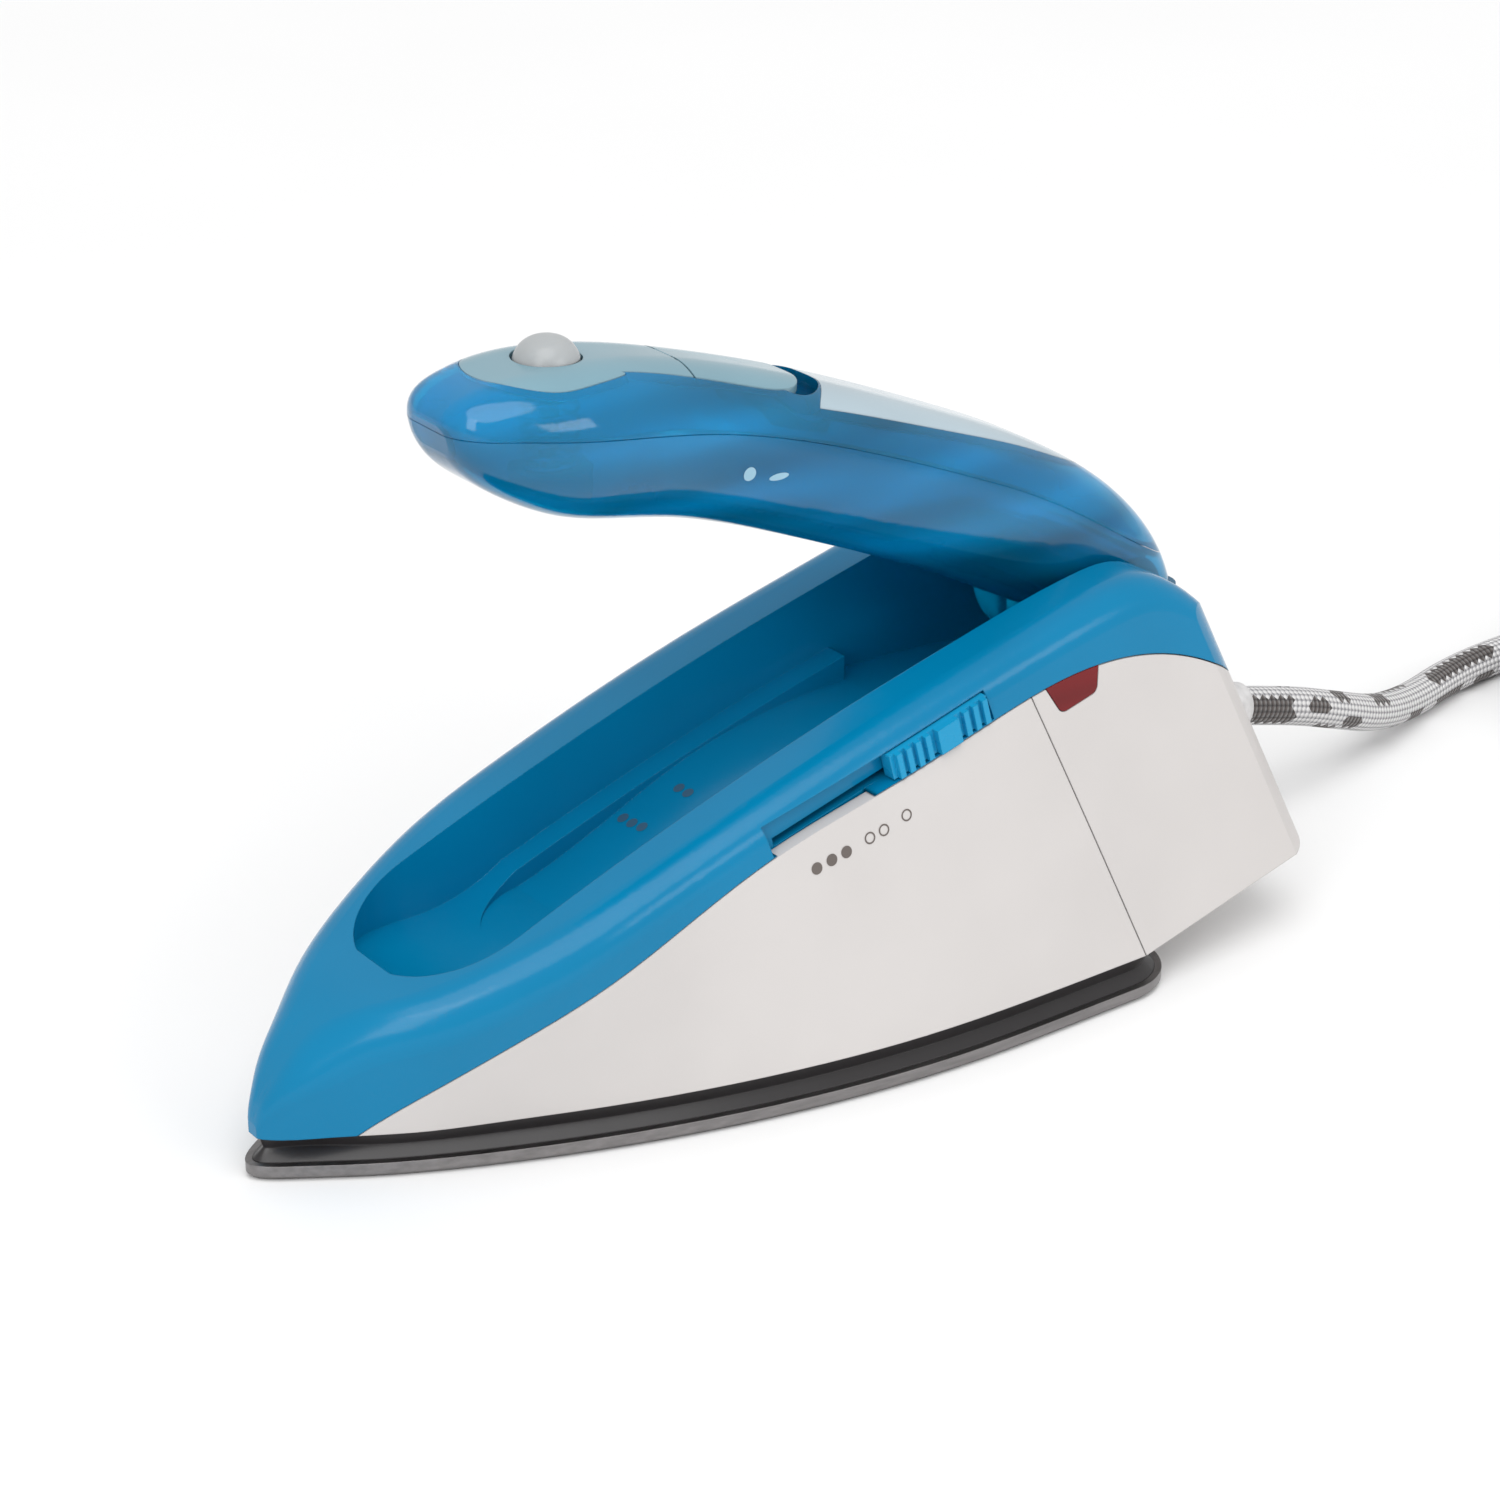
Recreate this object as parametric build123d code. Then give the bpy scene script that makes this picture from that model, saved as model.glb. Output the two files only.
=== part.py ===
"""Travel steam iron with a handle that is the water tank and folds down into the body.

Millimetres. +X points to the nose, +Y to the side with the temperature slider, +Z up.
The sole rests on z = 0 and the iron without its cord is centred on x = 0.
"""

from build123d import *
import os
from math import cos, pi, radians, sin, sqrt, tan

# ---------------------------------------------------------------- driving dimensions
NOSE_X = 101.5                 # foremost point of the sole
HEEL_X = -101.5                # rearmost point of the rear cover
HEEL_Z = 17.0
SOLE_LENGTH = 168.0
SOLE_HALF = 43.0               # half the sole's greatest width
SOLE_REAR_X = NOSE_X - SOLE_LENGTH
SOLE_CORNER = 12.0
FULL_WIDTH_SHARE = 0.784       # share of the length where the sole is at full width
NOSE_POWER = 0.748             # below 1 makes the nose fuller
SOLE_PLATE_Z = 2.8
CASTING_Z = 6.8
SKIRT_Z = 7.5                  # where the plastic covers begin
SKIRT_INSET = 1.8
WALL = 2.2                     # cover wall
SEAM = 0.25                    # open line between neighbouring covers

RIM_HALF = 29.0                # half width over the shoulders
TROUGH_HALF = 17.4
TROUGH_FRONT_X = 59.5          # centre of the trough's round front end
TROUGH_DEPTH = 13.2            # side ledges, below the rim
CHANNEL_HALF = 12.6
SHOULDER_RADIUS = 6.5

PIVOT_X = -73.8
PIVOT_Z = 62.0
BARREL_RADIUS = 13.4
BARREL_HALF = 15.2
TANK_WALL = 2.0
PANEL_THICK = 1.3
PIN_RADIUS = 3.0

SLIDE_SLOPE = 15.2             # degrees that the slider's slot falls towards the nose
SLOT_FRONT = (17.9, 47.6)      # x, z of the slot's front end
SLOT_LENGTH = 48.0
SLOT_HEIGHT = 5.4
KNOB_LENGTH = 21.5
NECK_TOP = -1.4                # the knob's neck passes through the lower edge of the slot
RECESS_Y = 27.6                # floor of the slot's recess
SPINDLE_X = -9.0
CRANK_REACH = 22.0
CRANK_REST_ANGLE = 27.8        # the crank points back when the knob is at the rear of its slot
FINGER_X = SPINDLE_X - CRANK_REACH * tan(radians(CRANK_REST_ANGLE))
FINGER_TOP = 57.0

BUTTON_X = 39.5
BUTTON_RADIUS = 5.4

CORD_RADIUS = 3.8
CORD_EXIT = (-96.0, 30.0)      # x, z where the strain relief leaves the back wall
CORD_DROP = 13.0               # degrees that the strain relief points down
RELIEF_LENGTH = 22.0
COIL_CENTRE = (-247.0, 34.0)
COIL_MIDDLE = 42.0             # radius at the middle of the turns
COIL_HALF_BAND = 15.2
COIL_HEIGHT = 15.6
OUTER_TURN = COIL_MIDDLE + COIL_HALF_BAND - CORD_RADIUS
STUB_X = -217.0                # where the free cord meets the coil


# ---------------------------------------------------------------- shared outlines
def side_plane(x):
    """Plane across the iron at x: local X is the object's Y, local Y is Z."""
    return Plane(origin=(x, 0, 0), x_dir=(0, 1, 0), z_dir=(1, 0, 0))


def across(profile, half_width=60.0):
    """A side view profile (x, z) carried across the whole width."""
    return extrude(Plane.XZ * profile, half_width, both=True)


def polygon(*points):
    return make_face(Polyline(*points, close=True))


def block(x0, x1, y0, y1, z0, z1):
    return Pos((x0 + x1) / 2, (y0 + y1) / 2, (z0 + z1) / 2) * Box(x1 - x0, y1 - y0, z1 - z0)


def post(x, y, z0, z1, radius):
    return Pos(x, y, (z0 + z1) / 2) * Cylinder(radius, z1 - z0)


def sole_half(x):
    share = min((NOSE_X - x) / SOLE_LENGTH / FULL_WIDTH_SHARE, 1.0)
    return SOLE_HALF * sin(pi / 2 * share) ** NOSE_POWER


def inset_half(x, inset):
    """Half width of the sole outline moved inward by inset."""
    slope = sole_half(x - 0.5) - sole_half(x + 0.5)
    return sole_half(x) - inset * sqrt(1 + slope**2)


def sole_outline(inset):
    """The boat-shaped plan of the sole, moved inward by a small inset."""
    stations = [NOSE_X - SOLE_LENGTH * share for share in (0.035, 0.1, 0.22, 0.38, 0.56)]
    side = [(x, inset_half(x, inset)) for x in stations]
    half = SOLE_HALF - inset
    full_x = NOSE_X - SOLE_LENGTH * FULL_WIDTH_SHARE
    rear_x = SOLE_REAR_X + inset
    corner = SOLE_CORNER - inset
    left = [(full_x, half), *reversed(side)]
    right = [(x, -y) for x, y in reversed(left)]
    nose = Spline(*left, (NOSE_X - inset, 0), *right, tangents=[(1, 0), (-1, 0)])
    curve = Curve() + [
        nose,
        Line((full_x, -half), (rear_x + corner, -half)),
        RadiusArc((rear_x + corner, -half), (rear_x, -half + corner), corner),
        Line((rear_x, -half + corner), (rear_x, half - corner)),
        RadiusArc((rear_x, half - corner), (rear_x + corner, half), corner),
        Line((rear_x + corner, half), (full_x, half)),
    ]
    return make_face(curve)


def inner_outline(inset):
    """The sole's plan drawn further in, with a blunt nose, for the pieces on top of it."""
    stations = [NOSE_X - SOLE_LENGTH * share for share in (0.16, 0.22, 0.30, 0.38, 0.47, 0.56, 0.66)]
    side = [(x, inset_half(x, inset)) for x in stations]
    side = [(x, y) for x, y in side if y > 4.0]
    half = SOLE_HALF - inset
    full_x = NOSE_X - SOLE_LENGTH * FULL_WIDTH_SHARE
    rear_x = SOLE_REAR_X + inset
    left = [(full_x, half), *reversed(side)]
    front_x, front_half = left[-1]
    curve = Curve() + [
        Spline(*left),
        Line((front_x, front_half), (front_x, -front_half)),
        Spline(*[(x, -y) for x, y in reversed(left)]),
        Polyline((full_x, -half), (rear_x, -half), (rear_x, half), (full_x, half)),
    ]
    return make_face(curve)


def rim_z(x):
    """Height of the trough's rim."""
    ahead = x - 17.5
    return 53.1 - 0.3245 * ahead - 0.000843 * ahead**2


def body_section(x, half_base, half_top, top_z, radius, low_z):
    face = polygon((-half_base, low_z), (half_base, low_z), (half_top, top_z), (-half_top, top_z))
    face = fillet(face.vertices().group_by(Axis.Y)[-1], radius)
    return side_plane(x) * face


# x, half width at the skirt, half width at the top, top height
NOSE_SECTIONS = (
    (100.1, 1.3, 1.3, 9.8),
    (99.4, 2.3, 2.4, 12.2),
    (98.0, 3.6, 3.8, 15.0),
    (95.5, 5.4, 6.4, 19.0),
    (90.5, 8.2, 10.4, 24.6),
    (84.0, 12.0, 15.2, 28.9),
    (77.5, 15.6, 20.0, 31.2),
    (66.0, 20.4, 25.4, 35.4),
)
RIM_SECTION_X = (51.5, 34.5, 17.5, -8.0, -33.0, -57.5)
REAR_SECTIONS = ((-66.5, 73.0), (-73.5, 70.2), (-80.5, 64.4), (-90.0, 54.6), (-106.0, 37.5))
SIDE_SLOPE = (SOLE_HALF - SKIRT_INSET - RIM_HALF) / (rim_z(-57.5) - SKIRT_Z)


def back_x(z):
    """The sloping back face."""
    return HEEL_X + (z - HEEL_Z) * 0.411


def body_form(inset):
    """The covers' outer form, moved inward by inset."""
    low_z = SKIRT_Z - inset
    sections = []
    for x, half_base, half_top, top_z in NOSE_SECTIONS:
        half = half_base - inset
        if half > 1.0:
            top_half = half_top - inset
            radius = min(top_half * 0.6, SHOULDER_RADIUS)
            sections.append(body_section(x, half, top_half, top_z - inset, radius, low_z))
    for x in RIM_SECTION_X:
        half = inset_half(x, SKIRT_INSET + inset)
        half_top = min(RIM_HALF - inset, half + 2.6)
        sections.append(body_section(x, half, half_top, rim_z(x) - inset, SHOULDER_RADIUS, low_z))
    for x, top_z in REAR_SECTIONS:
        half = SOLE_HALF - SKIRT_INSET - inset
        half_top = half - SIDE_SLOPE * (top_z - SKIRT_Z)
        sections.append(body_section(x, half, half_top, top_z - inset, SHOULDER_RADIUS, low_z))
    hull = loft(sections)
    step_x = -57.5 + inset
    step = [(step_x, low_z)] if inset else []
    bottom = polygon((NOSE_X + 20, low_z), *step, (step_x, SKIRT_Z + inset), (HEEL_X, HEEL_Z + inset),
                     (HEEL_X, 120), (NOSE_X + 20, 120))
    return hull & across(bottom) & rear_form(inset)


def rear_form(inset):
    """Plan with round rear corners that leans forward as it rises."""
    faces = []
    for z in (0.0, 80.0):
        half = SOLE_HALF - SKIRT_INSET + 0.3 - SIDE_SLOPE * (z - SKIRT_Z) - inset
        rear_x = back_x(z) + inset
        plan = polygon((rear_x, -half), (NOSE_X + 20, -half - 12), (NOSE_X + 20, half + 12), (rear_x, half))
        plan = fillet(plan.vertices().group_by(Axis.X)[0], 11.0 - inset)
        faces.append(Pos(0, 0, z) * plan)
    return loft(faces, ruled=True)


# the line where the blue cover meets the white ones, front to rear
COVER_LINE = ((90.2, 4.0), (74.5, 17.0), (46.0, 32.0), (18.2, 44.6), (-7.5, 51.6),
              (-29.5, 57.5), (-43.0, 60.7), (-57.5, 61.6), (-74.0, 57.8), (-92.0, 45.0))


def above_cover_line(drop=0.0):
    line = [(x, z - drop) for x, z in COVER_LINE]
    edge = Spline(*line)
    rest = Polyline(line[-1], (-140, line[-1][1]), (-140, 120), (130, 120), (130, line[0][1]), line[0])
    return across(make_face(Curve() + [edge, rest]))


def behind_seam(shift=0.0):
    return across(polygon((-37.2 + shift, 60), (-57.8 + shift, 7), (-60.5 + shift, 0), (-150, 0), (-150, 95),
                          (-37.2 + shift, 95)))


# ---------------------------------------------------------------- blue top cover
def trough_plan(half_width, front_x, rear_x=-120.0):
    curve = Curve() + [
        Line((rear_x, half_width), (front_x, half_width)),
        RadiusArc((front_x, half_width), (front_x + half_width, 0), half_width),
        Line((front_x + half_width, 0), (rear_x, 0)),
        Line((rear_x, 0), (rear_x, half_width)),
    ]
    half = make_face(curve)
    return half + mirror(half, about=Plane.XZ)


def above_floor(drop, centre=False):
    """Everything above the trough's floor; the centre channel lies a little deeper."""
    ledge = [(x, rim_z(x) - TROUGH_DEPTH - drop) for x in (-40.0, -8.0, 17.5, 40.0)]
    channel = [(-31.5, 49.0 - drop), (-14.0, 47.6 - drop), (4.0, 43.4 - drop), (19.0, 37.2 - drop),
               (40.0, 29.0 - drop)]
    run = channel if centre else ledge
    scoop = [run[-1], (52.0, 27.4 - drop), (64.0, 27.2 - drop), (72.5, 29.4 - drop), (80.0, 36.0 - drop)]
    edges = [Spline(*run), Spline(*scoop)]
    closing = Polyline(scoop[-1], (80.0, 120.0), (run[0][0], 120.0), run[0])
    return across(make_face(Curve() + [*edges, closing]))


def hinge_well(grow):
    """The open space behind the trough that the handle's barrel turns in."""
    half = TROUGH_HALF + grow
    floor_z = PIVOT_Z - BARREL_RADIUS - 1.0 - grow
    profile = polygon((-31.0 + grow, 120), (-31.0 + grow, 49.0 - grow), (-52.0, 48.4 - grow),
                      (-62.0, floor_z), (-130, floor_z), (-130, 120))
    return across(profile, half)


def trough_space(grow):
    """The hollow of trough, channel and hinge well, grown outward for the walls around it."""
    plan = extrude(trough_plan(TROUGH_HALF + grow, TROUGH_FRONT_X), 130)
    ledge_space = plan & above_floor(grow)
    channel_plan = extrude(trough_plan(CHANNEL_HALF + grow, TROUGH_FRONT_X - 19, -31.5), 130)
    channel_space = channel_plan & above_floor(grow, centre=True)
    return ledge_space + channel_space + hinge_well(grow)


def slot_frame():
    """Frame at the slot's front end: local X runs back along the slot, local Y up, local Z out to -Y."""
    slope = radians(SLIDE_SLOPE)
    return Plane(origin=(SLOT_FRONT[0], 0, SLOT_FRONT[1]), x_dir=(-cos(slope), 0, sin(slope)), z_dir=(0, 1, 0))


def slot_box(run0, run1, rise0, rise1, y0, y1):
    """Box set along the slider's slot."""
    frame = slot_frame()
    size = ((run0 + run1) / 2, (rise0 + rise1) / 2, (y0 + y1) / 2)
    return frame * Pos(*size) * Box(run1 - run0, rise1 - rise0, y1 - y0)


LENS_POINTS = ((-40.4, 60.4), (-43.4, 55.2), (-51.4, 57.2), (-52.4, 62.6), (-46.0, 63.4))


def lens_region(grow=0.0):
    face = polygon(*LENS_POINTS)
    face = fillet(face.vertices().sort_by(Axis.Y)[:2], 1.6)
    if grow:
        face = offset(face, grow)
    prism = extrude(Plane.XZ * face, -45)
    return prism - above_cover_line(SEAM * 0.5)


def top_cover(outer, inner):
    shell = (outer - inner) & above_cover_line()
    walls = trough_space(2.0) & outer
    rail = slot_box(-4, SLOT_LENGTH + 4, -4.6, 4.6, RECESS_Y - 0.5, RECESS_Y + 3.0) & outer & above_cover_line()
    rail += slot_box(-4, SLOT_LENGTH + 4, -4.6, 4.6, RECESS_Y - 2.4, RECESS_Y) & inner
    bosses = across(Pos(PIVOT_X, PIVOT_Z) * Circle(7.0), 23.5) & outer
    cover = shell + walls + rail + bosses
    cover -= trough_space(0)
    cover -= slot_box(0, SLOT_LENGTH, -SLOT_HEIGHT / 2, SLOT_HEIGHT / 2, RECESS_Y, 50)
    cover -= slot_box(2.0, SLOT_LENGTH - 2.0, -SLOT_HEIGHT / 2, NECK_TOP + 0.3, 20, 50)
    cover -= across(Pos(PIVOT_X, PIVOT_Z) * Circle(PIN_RADIUS), 24.5)
    return cover


# ---------------------------------------------------------------- handle
# x, z, lean of the section in degrees, height, half width, corner share, front to rear
HANDLE_SECTIONS = (
    (61.4, 119.4, -14, 5.0, 5.0, 0.46),
    (60.3, 119.1, -12, 9.6, 8.0, 0.46),
    (57.8, 118.6, -10, 14.2, 10.8, 0.46),
    (53.0, 117.6, -8, 19.2, 13.2, 0.46),
    (45.5, 116.2, -3, 23.4, 15.8, 0.46),
    (35.0, 114.4, 4, 26.0, 16.2, 0.46),
    (17.0, 110.2, 13, 26.2, 14.7, 0.46),
    (-8.5, 101.2, 21, 26.6, 15.2, 0.46),
    (-34.5, 90.0, 25, 27.2, 15.5, 0.46),
    (-55.5, 79.4, 33, 27.6, 15.4, 0.44),
    (-68.5, 70.2, 60, 27.2, 15.4, 0.36),
    (PIVOT_X, PIVOT_Z, 88, 26.8, 15.4, 0.26),
)


def handle_form(inset):
    """The handle's outer form, moved inward by inset."""
    sections = []
    for x, z, lean, height, half_width, corner_share in HANDLE_SECTIONS:
        tall = height - 2 * inset
        wide = 2 * (half_width - inset)
        if tall < 3.0:
            continue
        turn = radians(lean)
        plane = Plane(origin=(x, 0, z), x_dir=(0, 1, 0), z_dir=(cos(turn), 0, sin(turn)))
        radius = corner_share * min(tall, wide)
        sections.append(plane * RectangleRounded(wide, tall, radius))
    return loft(sections)


def barrel(radius, half_width):
    return across(Pos(PIVOT_X, PIVOT_Z) * Circle(radius), half_width)


def round_barrel():
    """Lower half of the barrel that turns in the well, with rounded ends."""
    whole = barrel(BARREL_RADIUS, BARREL_HALF)
    whole = fillet(whole.edges().filter_by(GeomType.CIRCLE), 4.0)
    return whole & block(-130, 0, -20, 20, 0, PIVOT_Z + 1)


PARTING = ((72.0, 120.4), (53.0, 120.0), (36.0, 117.6), (14.0, 113.2), (-8.5, 106.2), (-34.5, 95.6),
           (-56.5, 85.0), (-76.0, 73.0), (-98.0, 63.0))


def above_parting(drop=0.0):
    line = [(x, z - drop) for x, z in PARTING]
    closing = Polyline(line[-1], (-130, line[-1][1]), (-130, 150), (90, 150), (90, line[0][1]), line[0])
    return across(make_face(Curve() + [Spline(*line), closing]))


LID_AXIS = (17.0, 123.2)        # x, z of the filler lid's hinge, just under its front edge
LID_BARREL_RADIUS = 0.6
LID_BARREL_HALF = 2.2


def lid_barrel(radius, half_width):
    return across(Pos(*LID_AXIS) * Circle(radius), half_width)


def thumb_notch(depth, grow=0.0):
    """Crescent hollow behind the filler lid, down to a depth below the handle's top."""
    plan = Pos(-3.5, 0) * Ellipse(8.3 + grow, 9.6 + grow)
    return (upright(plan) & above_parting(-1.0)) - handle_form(depth)


def button_panel_plan(grow=0.0):
    """Wavy plan of the front inlay around the steam button."""
    side = [(53.4 + grow, 0), (51.2, 7.0 + grow), (46.0, 10.8 + grow), (39.0, 11.2 + grow),
            (31.0, 9.4 + grow), (17.4 - grow, 8.9 + grow)]
    edges = [Spline(*side, tangents=[(0, 1), (-1, 0)]), Polyline(side[-1], (17.4 - grow, 0))]
    curve = Curve() + edges
    return make_face(curve + mirror(curve, about=Plane.XZ))


def filler_lid_plan(grow=0.0):
    front_x = LID_AXIS[0] + grow
    side = [(front_x, 8.9 + grow), (6.0, 9.2 + grow), (-4.0, 7.6 + grow), (-7.0 - grow, 0)]
    edges = [Line((front_x, 0), side[0]), Spline(*side, tangents=[(-1, 0), (0, -1)])]
    curve = Curve() + edges
    return make_face(curve + mirror(curve, about=Plane.XZ))


def rear_panel_plan(grow=0.0):
    side = [(-6.4 + grow, 11.2 + grow), (-30.0, 10.6 + grow), (-55.0, 8.4 + grow), (-71.0 - grow, 0)]
    front = [(-12.0 + grow, 0), side[0]]
    edges = [Spline(*front, tangents=[(0, 1), (0.8, 1)]), Spline(*side, tangents=[(-1, 0), (0, -1)])]
    curve = Curve() + edges
    return make_face(curve + mirror(curve, about=Plane.XZ))


def upright(plan, low_z=85.0):
    return Pos(0, 0, low_z) * extrude(plan, 60)


# ---------------------------------------------------------------- cord
def cord_route():
    """Centre line of the free cord: out of the strain relief, down to the table, back to the coil."""
    start_x, start_z = relief_point(RELIEF_LENGTH)
    return [
        (start_x, 0.0, start_z),
        (-132.0, -0.3, 21.2),
        (-147.5, -2.2, 15.2),
        (-163.0, -6.4, 8.6),
        (-180.0, -12.6, 4.4),
        (-198.5, -18.2, CORD_RADIUS + 0.1),
        (STUB_X, COIL_CENTRE[1] - OUTER_TURN, CORD_RADIUS + 0.1),
    ]


def relief_point(run):
    drop = radians(CORD_DROP)
    return CORD_EXIT[0] - run * cos(drop), CORD_EXIT[1] - run * sin(drop)


def relief_plane(run):
    drop = radians(CORD_DROP)
    x, z = relief_point(run)
    return Plane(origin=(x, 0, z), x_dir=(0, 1, 0), z_dir=(-cos(drop), 0, -sin(drop)))


def route_radii(points):
    """The largest bend that each corner's two runs leave room for."""
    radii = []
    for before, corner, after in zip(points, points[1:], points[2:]):
        first = Vector(*corner) - Vector(*before)
        second = Vector(*after) - Vector(*corner)
        turn = radians(first.get_angle(second))
        radii.append(0.45 * min(first.length, second.length) / tan(turn / 2))
    return radii


def rod(start, end, radius):
    """Round bar between two points."""
    line = Line(start, end)
    return sweep(Plane(origin=start, z_dir=line % 0) * Circle(radius), path=line)


def bent_rod(points, bend, radius):
    """Round bar or tube along straight runs joined by arcs."""
    path = FilletPolyline(*points, radius=bend)
    return sweep(Plane(origin=path @ 0, z_dir=path % 0) * Circle(radius), path=path)


def group(*solids):
    return Compound(children=list(solids))


def cord_tube():
    points = cord_route()
    radii = route_radii(points)
    print("cord bend radii", [round(r) for r in radii])
    path = FilletPolyline(*points, radius=radii)
    tube = sweep(Plane(origin=path @ 0, z_dir=path % 0) * Circle(CORD_RADIUS), path=path)
    share = tube.volume / (path.length * pi * CORD_RADIUS**2)
    print("cord run", round(path.length, 1), "volume share", round(share, 4))
    return tube


# ---------------------------------------------------------------- sole and heater
STEAM_FRONT_X = 30.0
GASKET_THICK = 0.6
LID_THICK = 1.2
ELEMENT_RADIUS = 3.2
ELEMENT_Z = CASTING_Z + ELEMENT_RADIUS
ELEMENT_HALF_SPAN = 20.0
ELEMENT_END_X = -46.0
VENT_ROWS = ((78.0, (0,)), (68.0, (-7, 7)), (56.0, (-11, 0, 11)), (44.0, (-15, -5, 5, 15)))
INLET_X = 50.0


def soleplate():
    """Plate with a bevelled edge, the cast boss above it, the steam chamber's pocket and the vents."""
    plate = loft([sole_outline(0.9), Pos(0, 0, 0.9) * sole_outline(0)], ruled=True)
    plate += Pos(0, 0, 0.9) * extrude(sole_outline(0), SOLE_PLATE_Z - 0.9)
    sole = plate + extrude(inner_outline(9.0), CASTING_Z)
    pocket = extrude(inner_outline(15.0), 20) & block(STEAM_FRONT_X + 4, 120, -40, 40, 4.2, 20)
    sole -= pocket
    for x, ys in VENT_ROWS:
        for y in ys:
            sole -= post(x, y, -1, 5, 1.6)
    return sole


def chamber_plate(inset, low_z, thick):
    front = block(STEAM_FRONT_X, 120, -40, 40, low_z, low_z + thick)
    return extrude(inner_outline(inset), 20) & front


def sole_surround():
    """Dark waisted ring between the sole and the covers."""
    waist_z = 4.6
    lower = loft([Pos(0, 0, SOLE_PLATE_Z) * sole_outline(1.2), Pos(0, 0, waist_z) * sole_outline(3.2)], ruled=True)
    upper = loft([Pos(0, 0, waist_z) * sole_outline(3.2), Pos(0, 0, SKIRT_Z) * sole_outline(2.2)], ruled=True)
    return lower + upper - extrude(inner_outline(8.0), 20)


def heating_element():
    y = ELEMENT_HALF_SPAN
    path = Wire([
        Line((ELEMENT_END_X, y, ELEMENT_Z), (6, y, ELEMENT_Z)),
        ThreePointArc((6, y, ELEMENT_Z), (6 + y, 0, ELEMENT_Z), (6, -y, ELEMENT_Z)),
        Line((6, -y, ELEMENT_Z), (ELEMENT_END_X, -y, ELEMENT_Z)),
    ])
    return sweep(Plane(origin=(ELEMENT_END_X, y, ELEMENT_Z), z_dir=(1, 0, 0)) * Circle(ELEMENT_RADIUS), path=path)


# ---------------------------------------------------------------- frame and electrics
FRAME_Z = 15.0
FRAME_THICK = 1.6
FRAME_TOP = FRAME_Z + FRAME_THICK
LEG_PLACES = ((14, 0), (-8, 31), (-8, -31), (-48, 0))
THERMOSTAT_TOP = 13.4
CRANK_Z = (33.4, 36.0)
TERMINAL_Z = (29.0, 38.0)
TERMINAL_Y = (-9, 0, 9)


def heat_shield_frame():
    frame = extrude(inner_outline(8.0), 20) & block(-56, 58, -60, 60, FRAME_Z, FRAME_TOP)
    for x, y in LEG_PLACES:
        frame += post(x, y, CASTING_Z, FRAME_Z + 1, 3.2)
    frame -= post(SPINDLE_X, 0, 10, 20, 3.0)
    frame -= post(INLET_X, 0, 10, 20, 3.4)
    return frame


def thermostat():
    base = block(SPINDLE_X - 12, SPINDLE_X + 9, -7, 7, CASTING_Z, 9.0)
    return base + block(SPINDLE_X - 8, SPINDLE_X + 6, -5.5, 5.5, 9.0, THERMOSTAT_TOP)


def thermostat_spindle():
    """Upright spindle with a forked crank that the slider's finger swings."""
    low, high = CRANK_Z
    spindle = post(SPINDLE_X, 0, THERMOSTAT_TOP, high, 2.2)
    crank = block(SPINDLE_X - 3.0, SPINDLE_X + 3.0, 0, CRANK_REACH - 3.2, low, high)
    fork = block(SPINDLE_X - 6.4, SPINDLE_X + 6.4, CRANK_REACH - 5.5, CRANK_REACH + 5.0, low, high)
    fork -= block(SPINDLE_X - 4.0, SPINDLE_X + 4.0, CRANK_REACH - 2.8, CRANK_REACH + 9, 30, 40)
    crank_arm = spindle + crank + fork
    return crank_arm.rotate(Axis((SPINDLE_X, 0, 0), (0, 0, 1)), CRANK_REST_ANGLE)


def terminal_block():
    low, high = TERMINAL_Z
    terminal = block(-74, -62, -14, 14, low, high)
    for y in TERMINAL_Y:
        terminal -= post(-68, y, low + 4, 50, 2.4)
    return terminal + block(-72, -64, -4, 4, 17.2, low)


# ---------------------------------------------------------------- covers
SCREW_Y = 22.0
SCREW_X = -80.0


def white_covers(outer, inner):
    """Front skirt and rear cover, parted by a fine seam."""
    white = outer - inner - above_cover_line(SEAM) - trough_space(2.2)
    white -= slot_box(-0.1, SLOT_LENGTH + 0.1, -SLOT_HEIGHT / 2, SLOT_HEIGHT / 2, RECESS_Y - 0.5, 50)
    rear = white & behind_seam()
    rear -= lens_region(0.15)
    rear -= extrude(relief_plane(-12) * Circle(6.1), 30)
    for y in (-SCREW_Y, SCREW_Y):
        rear += post(SCREW_X, y, 8.0, 30, 4.2) & outer
        rear -= post(SCREW_X, y, 0, 14.6, 3.2)
    return white - behind_seam(SEAM), rear


# ---------------------------------------------------------------- slider
KNOB_START = SLOT_LENGTH - KNOB_LENGTH - 0.5
KNOB_END = SLOT_LENGTH - 0.5
RIB_STEP = 2.1
RIB_WIDTH = 1.1


def temperature_slider():
    """Ribbed knob in the slot, its carriage behind the wall and the finger that drives the crank."""
    rise = SLOT_HEIGHT / 2 - 0.3
    low_y = RECESS_Y + 0.3
    slider = slot_box(KNOB_START, KNOB_END, -rise, rise, low_y, 30.4)
    for count in range(4):
        run = KNOB_START + 0.9 + count * RIB_STEP
        slider += slot_box(run, run + RIB_WIDTH, -rise, rise, 30.0, 31.4)
    for count in range(3):
        run = KNOB_END - 1.6 - count * RIB_STEP
        slider += slot_box(run, run + RIB_WIDTH, -rise, rise, 30.0, 31.4)
    slider += slot_box(KNOB_START + 9.6, KNOB_END - 7.2, -rise, rise, 30.0, 31.8)
    slider += slot_box(KNOB_START + 2, KNOB_END - 2.5, -rise, NECK_TOP, RECESS_Y - 3.2, low_y + 0.3)
    slider += slot_box(KNOB_START + 2, KNOB_END - 2.5, -3.6, 0.9, RECESS_Y - 4.6, RECESS_Y - 2.7)
    slider += block(FINGER_X - 1.5, FINGER_X + 1.5, 20.8, 23.2, 31.5, FINGER_TOP)
    return slider


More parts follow.
